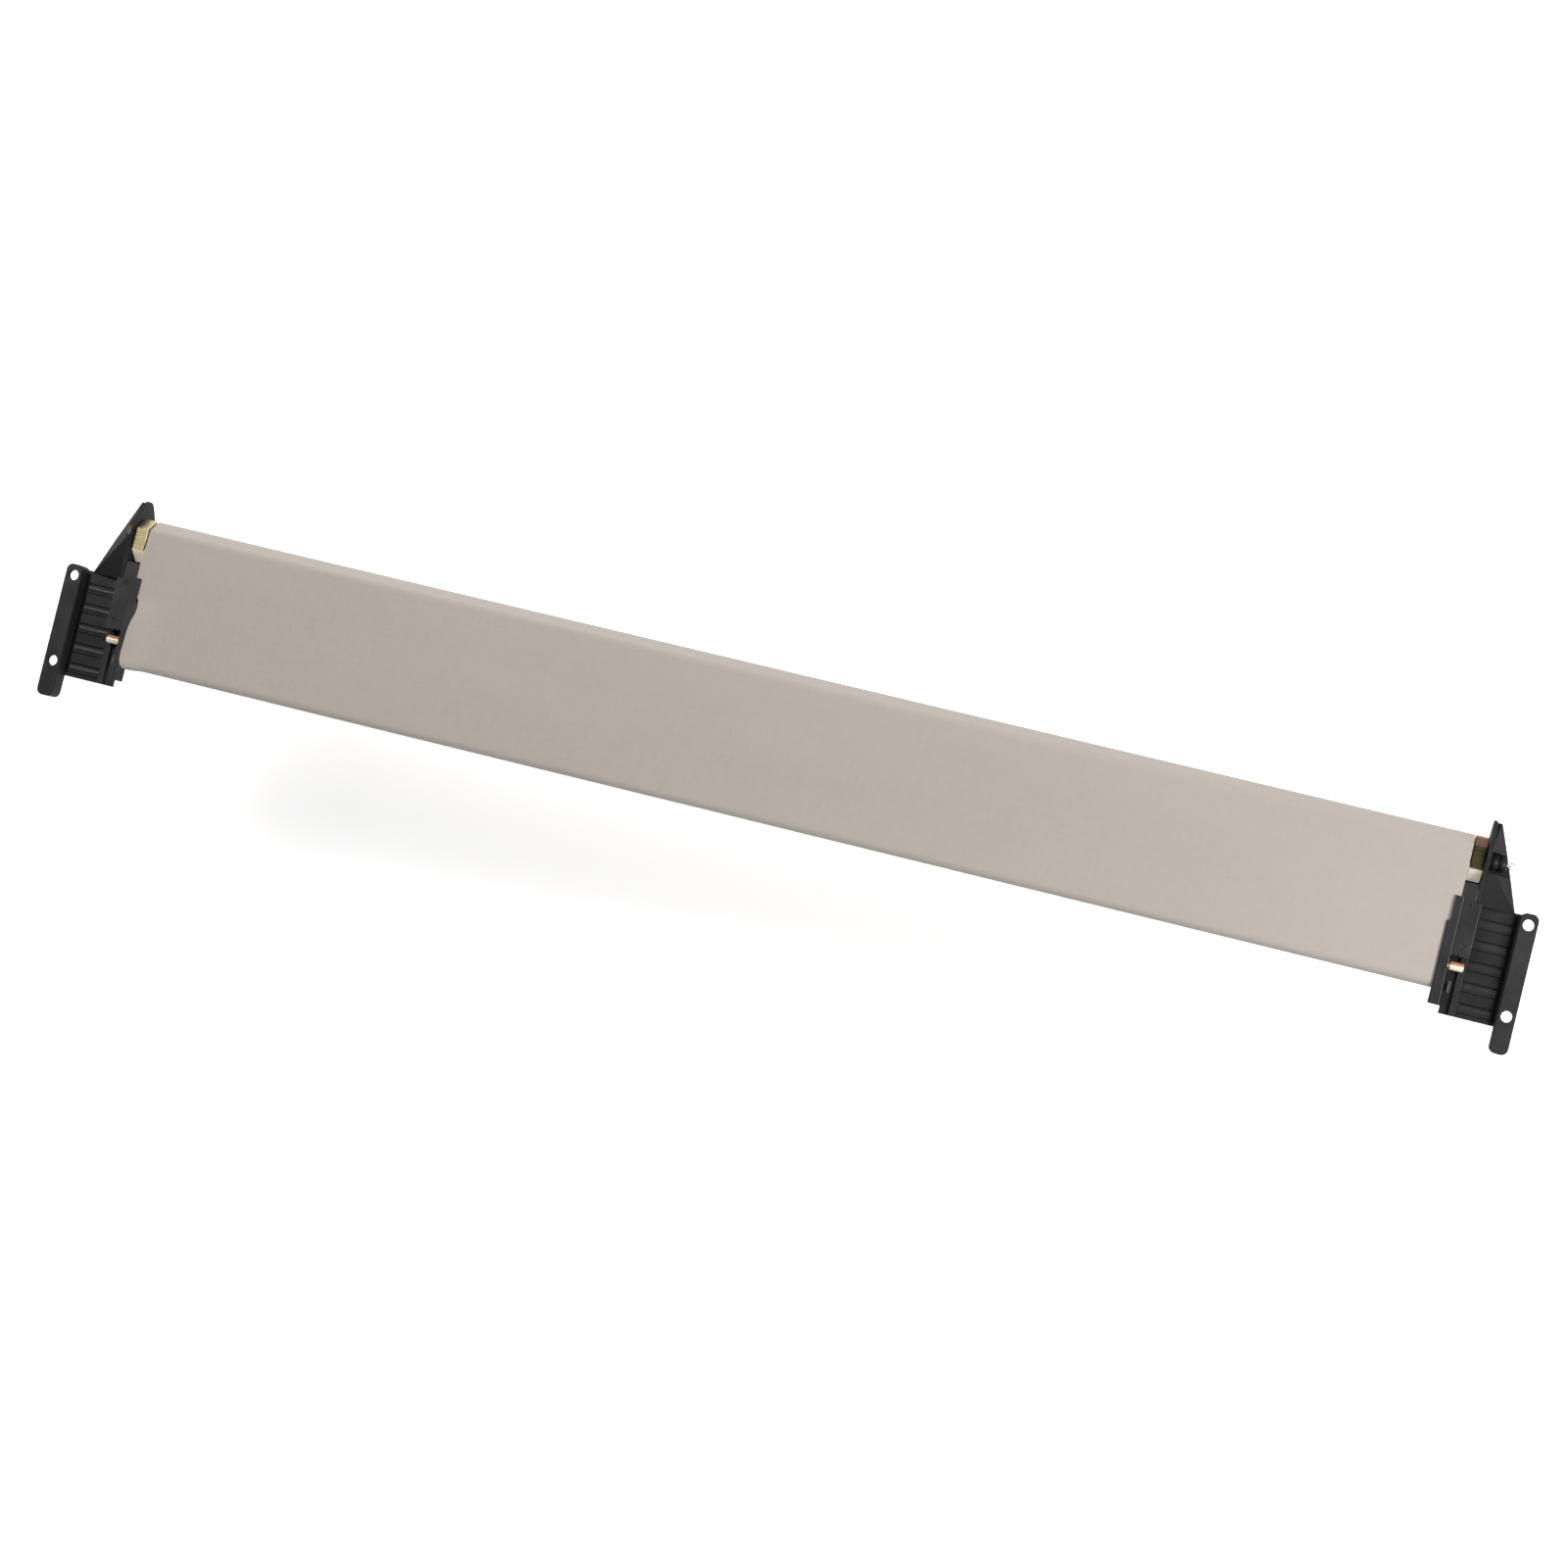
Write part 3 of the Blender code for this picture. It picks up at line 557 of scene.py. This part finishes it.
def clothPath():
    centre = Vector((layout["rollY"], layout["rollZ"]))
    bend = Vector((cloth["bendY"], layout["bedZ"]))
    leave = math.radians(cloth["leaveAngle"])
    steps = cloth["steps"]
    points = []
    for i in range(steps["turn"] + 1):               # the outermost turn, from under the sheet
        angle = leave - math.tau * cloth["turnShare"] * (1 - i / steps["turn"])
        reach = hexReach(angle) - cloth["layer"] * (leave - angle) / math.tau
        points.append((centre.x + reach * math.cos(angle), centre.y + reach * math.sin(angle)))
    start = Vector(points[-1])
    for i in range(1, steps["free"] + 1):            # free run down to the rails
        points.append(tuple(start.lerp(bend, i / steps["free"])))
    nose = Vector((layout["noseY"], layout["noseZ"]))
    for i in range(1, steps["bed"] + 1):             # flat over the bar
        points.append((bend.x + (nose.x - bend.x) * i / steps["bed"], bend.y))
    noseTop = len(points) - 1
    wrap = bend.y - nose.y
    for i in range(1, steps["nose"] + 1):            # half a turn round the bar's nose
        angle = math.radians(90 + 180 * i / steps["nose"])
        points.append((nose.x + wrap * math.cos(angle), nose.y + wrap * math.sin(angle)))
    under = nose.y - wrap
    for i in range(1, steps["under"] + 1):
        points.append((nose.x + (cloth["tuckY"] - nose.x) * i / steps["under"], under))
    tuck = cloth["tuckRadius"]
    for i in range(1, steps["groove"] + 1):          # up into the bar's groove
        angle = math.radians(-90 + 90 * i / steps["groove"])
        points.append((cloth["tuckY"] + tuck * math.cos(angle),
                       under + tuck + tuck * math.sin(angle)))
    return np.array(points), noseTop


def smoothStep(t):
    t = np.clip(t, 0, 1)
    return t * t * (3 - 2 * t)


def edgeAt(along):
    run, edgeX, lift = np.array(leftEdge).T
    return np.interp(along * 1000, run, edgeX) / 1000, np.interp(along * 1000, run, lift) / 1000


def rippleAt(x, y):
    wave = sum(np.sin(x * alongX + y * alongY + start) * share
               for alongX, alongY, start, share in cloth["waves"])
    calm = cloth["calm"]                             # the bar, the roll and the side edges
    free = smoothStep(y / calm["barFade"]) * smoothStep((calm["rollY"] - y) / calm["rollFade"])
    side = smoothStep((calm["edgeX"] - np.abs(x)) / calm["edgeFade"])
    return cloth["ripple"] * (wave + cloth["rippleLift"]) * free * side


def shellFromGrid(name, middle, normals, thickness):
    # a closed sheet of the given thickness, with the grid of points in its middle
    rows, columns = middle.shape[:2]
    half = normals * thickness / 2
    verts = np.concatenate([(middle + half).reshape(-1, 3), (middle - half).reshape(-1, 3)])
    index = np.arange(rows * columns).reshape(rows, columns)
    back = index + rows * columns
    faces = []
    for i in range(rows - 1):
        for j in range(columns - 1):
            faces.append((index[i, j], index[i, j + 1], index[i + 1, j + 1], index[i + 1, j]))
            faces.append((back[i + 1, j], back[i + 1, j + 1], back[i, j + 1], back[i, j]))
    for i in range(rows - 1):
        faces.append((index[i + 1, 0], back[i + 1, 0], back[i, 0], index[i, 0]))
        faces.append((index[i, -1], back[i, -1], back[i + 1, -1], index[i + 1, -1]))
    for j in range(columns - 1):
        faces.append((index[0, j], back[0, j], back[0, j + 1], index[0, j + 1]))
        faces.append((index[-1, j + 1], back[-1, j + 1], back[-1, j], index[-1, j]))
    mesh = bpy.data.meshes.new(name)
    mesh.from_pydata(verts.tolist(), [], [tuple(int(v) for v in face) for face in faces])
    bm = bmesh.new()
    bm.from_mesh(mesh)
    bmesh.ops.recalc_face_normals(bm, faces=bm.faces)
    bm.to_mesh(mesh)
    bm.free()
    mesh.shade_smooth()
    mesh.set_sharp_from_angle(angle=math.radians(cloth["sharpAbove"]))
    piece = bpy.data.objects.new(name, mesh)
    scene.collection.objects.link(piece)
    return piece


def buildBlindCloth():
    path, noseTop = clothPath()
    steps = np.linalg.norm(np.diff(path, axis=0), axis=1)
    run = np.concatenate([[0], np.cumsum(steps)])
    along = run[noseTop] - run                        # positive towards the roll
    tangent = np.gradient(path, axis=0)
    tangent /= np.linalg.norm(tangent, axis=1)[:, None]
    outward = np.stack([tangent[:, 1], -tangent[:, 0]], axis=1)
    left, lift = edgeAt(along)
    right = np.full_like(left, layout["halfWidth"] - cloth["rightInset"])
    share = np.linspace(0, 1, cloth["across"] + 1)
    share = 0.5 - 0.5 * np.cos(math.pi * share) * (1 - cloth["evenness"] * np.sin(math.pi * share))
    x = left[:, None] + (right - left)[:, None] * share[None, :]
    rise = lift[:, None] * smoothStep((cloth["curlX"] - x) / cloth["curlWidth"])
    y = path[:, 0][:, None] + outward[:, 0][:, None] * rise
    z = path[:, 1][:, None] + outward[:, 1][:, None] * rise
    offRoll = (np.arange(len(path)) > cloth["steps"]["turn"])[:, None]
    z = z + rippleAt(x, y) * offRoll
    middle = np.stack([x, y, z], axis=2)
    normals = np.cross(np.gradient(middle, axis=0), np.gradient(middle, axis=1))
    normals /= np.linalg.norm(normals, axis=2)[:, :, None]
    piece = shellFromGrid("blindCloth", middle, normals, cloth["thickness"])
    piece.data.materials.append(finishes["fabric"])
    return piece, run[-1]


blindCloth, clothLength = buildBlindCloth()
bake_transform(blindCloth)
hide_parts("fabric_panel")
print("cloth in view:", round(clothLength, 4), "m long")


# geometry-node pieces

def newTree(name, sizes):
    # an empty tree with one named input for each size
    tree = bpy.data.node_groups.new(name, "GeometryNodeTree")
    ids = {}
    for label, kind in sizes.items():
        socket = tree.interface.new_socket(label, in_out="INPUT", socket_type=kind)
        ids[label] = socket.identifier
    tree.interface.new_socket("Geometry", in_out="OUTPUT", socket_type="NodeSocketGeometry")
    enter = tree.nodes.new("NodeGroupInput")
    leave = tree.nodes.new("NodeGroupOutput")
    return tree, ids, enter, leave


def finishTree(tree, geometry, enter, leave):
    real = tree.nodes.new("GeometryNodeRealizeInstances")
    paint = tree.nodes.new("GeometryNodeSetMaterial")
    wire(tree, geometry, real.inputs["Geometry"])
    wire(tree, real.outputs["Geometry"], paint.inputs["Geometry"])
    wire(tree, enter.outputs["Material"], paint.inputs["Material"])
    wire(tree, paint.outputs["Geometry"], leave.inputs["Geometry"])


def grow(name, tree, ids, values):
    # runs a tree once and keeps the plain mesh
    mesh = bpy.data.meshes.new(name)
    holder = bpy.data.objects.new(name, mesh)
    scene.collection.objects.link(holder)
    step = holder.modifiers.new("grow", "NODES")
    step.node_group = tree
    for label, value in values.items():
        step[ids[label]] = value
    graph = bpy.context.evaluated_depsgraph_get()
    graph.update()
    made = bpy.data.meshes.new_from_object(holder.evaluated_get(graph))
    holder.modifiers.clear()
    holder.data = made
    return holder


woundCloth = {
    "turns": 8.4,
    "coreRadius": 0.00935,
    "outerRadius": 0.01275,
    "thickness": 0.00036,
    "sideInset": 0.0004,
    "stepsPerTurn": 40,
    "sharpAbove": 45,
}


def buildWoundCloth():
    tree, ids, enter, leave = newTree("woundClothSpiral", {
        "Turns": "NodeSocketFloat", "Core Radius": "NodeSocketFloat",
        "Outer Radius": "NodeSocketFloat", "Half Width": "NodeSocketFloat",
        "Material": "NodeSocketMaterial"})
    spiral = tree.nodes.new("GeometryNodeCurveSpiral")
    spiral.inputs["Resolution"].default_value = woundCloth["stepsPerTurn"]
    spiral.inputs["Height"].default_value = 0.0
    wire(tree, enter.outputs["Turns"], spiral.inputs["Rotations"])
    wire(tree, enter.outputs["Core Radius"], spiral.inputs["Start Radius"])
    wire(tree, enter.outputs["Outer Radius"], spiral.inputs["End Radius"])
    line = tree.nodes.new("GeometryNodeCurvePrimitiveLine")      # the cloth's width
    for label, sign in (("Start", -1.0), ("End", 1.0)):
        edge = tree.nodes.new("ShaderNodeCombineXYZ")
        wire(tree, maths(tree, "MULTIPLY", enter.outputs["Half Width"], sign), edge.inputs["Y"])
        wire(tree, edge.outputs[0], line.inputs[label])
    upright = tree.nodes.new("GeometryNodeSetCurveNormal")
    upright.mode = "Z_UP"
    wire(tree, spiral.outputs["Curve"], upright.inputs["Curve"])
    sweep = tree.nodes.new("GeometryNodeCurveToMesh")
    wire(tree, upright.outputs["Curve"], sweep.inputs["Curve"])
    wire(tree, line.outputs["Curve"], sweep.inputs["Profile Curve"])
    finishTree(tree, sweep.outputs["Mesh"], enter, leave)
    return grow("woundCloth", tree, ids, {
        "Turns": woundCloth["turns"], "Core Radius": woundCloth["coreRadius"],
        "Outer Radius": woundCloth["outerRadius"],
        "Half Width": layout["halfWidth"] - woundCloth["sideInset"],
        "Material": finishes["fabric"]})


def standOnRoller(piece):
    # the spiral is drawn flat, so its plane turns to YZ and its height to X,
    # and each layer takes more of the roll's six sides the further out it lies
    span = woundCloth["outerRadius"] - woundCloth["coreRadius"]
    for vert in piece.data.vertices:
        across, up, lengthwise = vert.co
        radius = math.hypot(across, up)
        share = min(max((radius - woundCloth["coreRadius"]) / span, 0), 1)
        sixSided = 1 + share * (hexReach(math.atan2(up, across)) / cloth["rollReach"] - 1)
        vert.co = (lengthwise, layout["rollY"] + across * sixSided, layout["rollZ"] + up * sixSided)
    wall = piece.modifiers.new("wall", "SOLIDIFY")
    wall.thickness = woundCloth["thickness"]
    wall.offset = 0
    settle(piece)
    bm = bmesh.new()
    bm.from_mesh(piece.data)
    bmesh.ops.recalc_face_normals(bm, faces=bm.faces)
    bm.to_mesh(piece.data)
    bm.free()
    piece.data.shade_smooth()
    piece.data.set_sharp_from_angle(angle=math.radians(woundCloth["sharpAbove"]))


wound = buildWoundCloth()
standOnRoller(wound)
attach(wound, "roller")
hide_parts("fabric_roll")
print("wound cloth:", len(wound.data.polygons), "faces")


ribRows = {
    "count": 5,
    "first": (0.4486, 0.0222, 0.00368),   # middle of the uppermost rib on the right
    "pitch": 0.013,
    "length": 0.0196,
    "halfWidth": 0.0016,
    "rise": 0.00034,
    "bow": 0.0,
    "sides": 16,
    "sharpAbove": 40,
}


def rowTree(name):
    # a row of one swept shape: evenly spaced copies, made real and painted
    tree, ids, enter, leave = newTree(name, {
        "Count": "NodeSocketInt", "First": "NodeSocketVector", "Step": "NodeSocketVector",
        "Length": "NodeSocketFloat", "Half Width": "NodeSocketFloat", "Bow": "NodeSocketFloat",
        "Flatness": "NodeSocketFloat", "Sides": "NodeSocketInt", "Material": "NodeSocketMaterial"})
    line = tree.nodes.new("GeometryNodeMeshLine")
    line.mode = "OFFSET"
    wire(tree, enter.outputs["Count"], line.inputs["Count"])
    wire(tree, enter.outputs["First"], line.inputs["Start Location"])
    wire(tree, enter.outputs["Step"], line.inputs["Offset"])
    half = maths(tree, "MULTIPLY", enter.outputs["Length"], 0.5)
    ends = []
    for sign in (-1, 1):
        end = tree.nodes.new("ShaderNodeCombineXYZ")
        wire(tree, maths(tree, "MULTIPLY", half, float(sign)), end.inputs["X"])
        ends.append(end.outputs[0])
    middle = tree.nodes.new("ShaderNodeCombineXYZ")
    wire(tree, enter.outputs["Bow"], middle.inputs["Z"])
    spine = tree.nodes.new("GeometryNodeCurveQuadraticBezier")
    spine.inputs["Resolution"].default_value = 4      # short pieces need no more
    wire(tree, ends[0], spine.inputs["Start"])
    wire(tree, middle.outputs[0], spine.inputs["Middle"])
    wire(tree, ends[1], spine.inputs["End"])
    upright = tree.nodes.new("GeometryNodeSetCurveNormal")
    upright.mode = "Z_UP"
    wire(tree, spine.outputs["Curve"], upright.inputs["Curve"])
    ring = tree.nodes.new("GeometryNodeCurvePrimitiveCircle")
    wire(tree, enter.outputs["Sides"], ring.inputs["Resolution"])
    wire(tree, enter.outputs["Half Width"], ring.inputs["Radius"])
    press = tree.nodes.new("GeometryNodeTransform")
    flat = tree.nodes.new("ShaderNodeCombineXYZ")
    flat.inputs["X"].default_value = 1.0
    flat.inputs["Z"].default_value = 1.0
    wire(tree, enter.outputs["Flatness"], flat.inputs["Y"])
    wire(tree, ring.outputs["Curve"], press.inputs["Geometry"])
    wire(tree, flat.outputs[0], press.inputs["Scale"])
    sweep = tree.nodes.new("GeometryNodeCurveToMesh")
    sweep.inputs["Fill Caps"].default_value = True
    wire(tree, upright.outputs["Curve"], sweep.inputs["Curve"])
    wire(tree, press.outputs["Geometry"], sweep.inputs["Profile Curve"])
    copies = tree.nodes.new("GeometryNodeInstanceOnPoints")
    wire(tree, line.outputs["Mesh"], copies.inputs["Points"])
    wire(tree, sweep.outputs["Mesh"], copies.inputs["Instance"])
    finishTree(tree, copies.outputs["Instances"], enter, leave)
    return tree, ids


def growRow(name, body, material, first, step, sizes):
    tree, ids = rowTree(name + "Row")
    piece = grow(name, tree, ids, {
        "Count": sizes["count"], "First": first, "Step": step, "Length": sizes["length"],
        "Half Width": sizes["halfWidth"], "Bow": sizes["bow"],
        "Flatness": sizes["rise"] / sizes["halfWidth"], "Sides": sizes["sides"],
        "Material": material})
    piece.data.shade_smooth()
    piece.data.set_sharp_from_angle(angle=math.radians(sizes["sharpAbove"]))
    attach(piece, body)


for side in (-1, 1):
    x, y, z = ribRows["first"]
    growRow("leftRibCrowns" if side < 0 else "rightRibCrowns", "brackets",
            finishes["black_plastic"], (side * x, y, z), (0.0, -ribRows["pitch"], 0.0), ribRows)
print("rib crowns grown")


hemStitches = {
    "count": 206,
    "pitch": 0.0040,
    "length": 0.0028,
    "halfWidth": 0.00017,
    "rise": 0.00017,
    "bow": -0.00022,
    "sides": 6,
    "sharpAbove": 40,
    "place": (-0.0075, 0.00470),      # across the bar's back
    "thread": (0.40, 0.345, 0.30),
    "twistTones": [(0.3, (0.32, 0.27, 0.235)), (0.7, (0.48, 0.42, 0.37))],
    "twistSize": 1500,
    "twistDepth": 0.00005,
    "twistStrength": 0.4,
}


def threadMaterial():
    made, tree, shader = startMaterial("hemThread", hemStitches["thread"], 0.6)
    twist = objectNoise(tree, hemStitches["twistSize"], 2.0, (1, 3, 3))
    wire(tree, ramp(tree, twist, hemStitches["twistTones"]), shader.inputs["Base Color"])
    bump(tree, shader, twist, hemStitches["twistStrength"], hemStitches["twistDepth"])
    return made


firstX = -hemStitches["pitch"] * (hemStitches["count"] - 1) / 2
growRow("hemStitches", "pull_bar_body", threadMaterial(),
        (firstX, *hemStitches["place"]), (hemStitches["pitch"], 0.0, 0.0), hemStitches)
print("hem stitches grown")


# studio

studio = {
    "floorSize": 7.0,            # from the middle to each side
    "floorDrop": -0.30,
    "floorTone": (0.92, 0.92, 0.92),
    "floorGlow": 0.55,
    "sky": (0.15, 0.15, 0.155),
    "horizon": (0.50, 0.50, 0.50),
    "haze": (0.82, 0.82, 0.82),      # pale band where the floor ends
    "hazeTop": 0.14,             # heights in the sky, 0 level and 1 overhead
    "horizonTop": 0.26,
    "skyBottom": 0.42,
    "shadeBelow": 0.55,          # how much of the sky is left on the pull bar's side
    "shadeEnds": 0.55,           # how far round towards the roller that lasts
    "skyStrength": 0.9,
}


def buildFloor():
    size, drop = studio["floorSize"], studio["floorDrop"]
    mesh = bpy.data.meshes.new("studioFloor")
    corners = [(-size, -size, drop), (size, -size, drop), (size, size, drop), (-size, size, drop)]
    mesh.from_pydata(corners, [], [(0, 1, 2, 3)])
    floor = bpy.data.objects.new("studioFloor", mesh)
    scene.collection.objects.link(floor)
    made, _, shader = startMaterial("paleFloor", studio["floorTone"], 0.9)
    shader.inputs["Emission Color"].default_value = (1, 1, 1, 1)
    shader.inputs["Emission Strength"].default_value = studio["floorGlow"]
    mesh.materials.append(made)


def buildSky():
    world = bpy.data.worlds.new("studioSky")
    world.use_nodes = True
    scene.world = world
    tree = world.node_tree
    ground = tree.nodes["Background"]
    place = tree.nodes.new("ShaderNodeTexCoord")
    split = tree.nodes.new("ShaderNodeSeparateXYZ")
    wire(tree, place.outputs["Generated"], split.inputs[0])
    shade = ramp(tree, split.outputs["Z"], [
        (0.0, studio["haze"]), (studio["hazeTop"], studio["haze"]),
        (studio["horizonTop"], studio["horizon"]), (studio["skyBottom"], studio["sky"])])
    dim = ramp(tree, split.outputs["Y"], [(0.0, studio["shadeBelow"]), (studio["shadeEnds"], 1.0)])
    high = ramp(tree, split.outputs["Z"], [(studio["hazeTop"], 0.0), (studio["horizonTop"], 1.0)])
    dimmed = mixColour(tree, 1.0, shade, dim, "MULTIPLY")
    wire(tree, mixColour(tree, high, shade, dimmed), ground.inputs["Color"])
    ground.inputs["Strength"].default_value = studio["skyStrength"]


softLights = {
    "rightKey": {
        "place": (1.04, 0.08, 0.92), "target": (0.42, 0.02, 0), "size": (0.55, 0.6),
        "power": 13.4, "colour": (1.0, 0.985, 0.975)},
    "leftFill": {
        "place": (-0.56, 0.58, 1.5), "target": (-0.38, 0.02, 0), "size": (0.8, 0.6),
        "power": 18.5, "colour": (1.0, 0.97, 0.93)},
    "rimStrip": {
        "place": (-0.40, 0.75, -0.22), "target": (-0.28, 0.06, 0), "size": (0.7, 0.16),
        "power": 1.0, "colour": (1, 1, 1)},
}


def hangLight(name, values):
    lamp = bpy.data.lights.new(name, "AREA")
    lamp.shape = "RECTANGLE"
    lamp.size, lamp.size_y = values["size"]
    lamp.energy = values["power"]
    lamp.color = values["colour"]
    light = bpy.data.objects.new(name, lamp)
    light.location = values["place"]
    away = Vector(values["place"]) - Vector(values["target"])
    light.rotation_euler = away.to_track_quat("Z", "Y").to_euler()
    light.visible_camera = False
    scene.collection.objects.link(light)


view = {
    "lens": 76.5,
    "sensor": 36,
    "nearest": 0.05,
    "stance": (                  # 2 m above the blind, right of its middle, rolled 14 degrees
        (0.960220, -0.233094, 0.153766, 0.326717),
        (0.238702, 0.970910, -0.018817, -0.033427),
        (-0.144907, 0.054773, 0.987928, 2.041532),
        (0, 0, 0, 1)),
}


def placeCamera():
    data = bpy.data.cameras.new("catalogueView")
    data.lens = view["lens"]
    data.sensor_width = view["sensor"]
    data.clip_start = view["nearest"]
    camera = bpy.data.objects.new("catalogueView", data)
    camera.matrix_world = Matrix(view["stance"])
    scene.collection.objects.link(camera)
    scene.camera = camera


buildFloor()
buildSky()
for name, values in softLights.items():
    hangLight(name, values)
placeCamera()
print("studio ready")
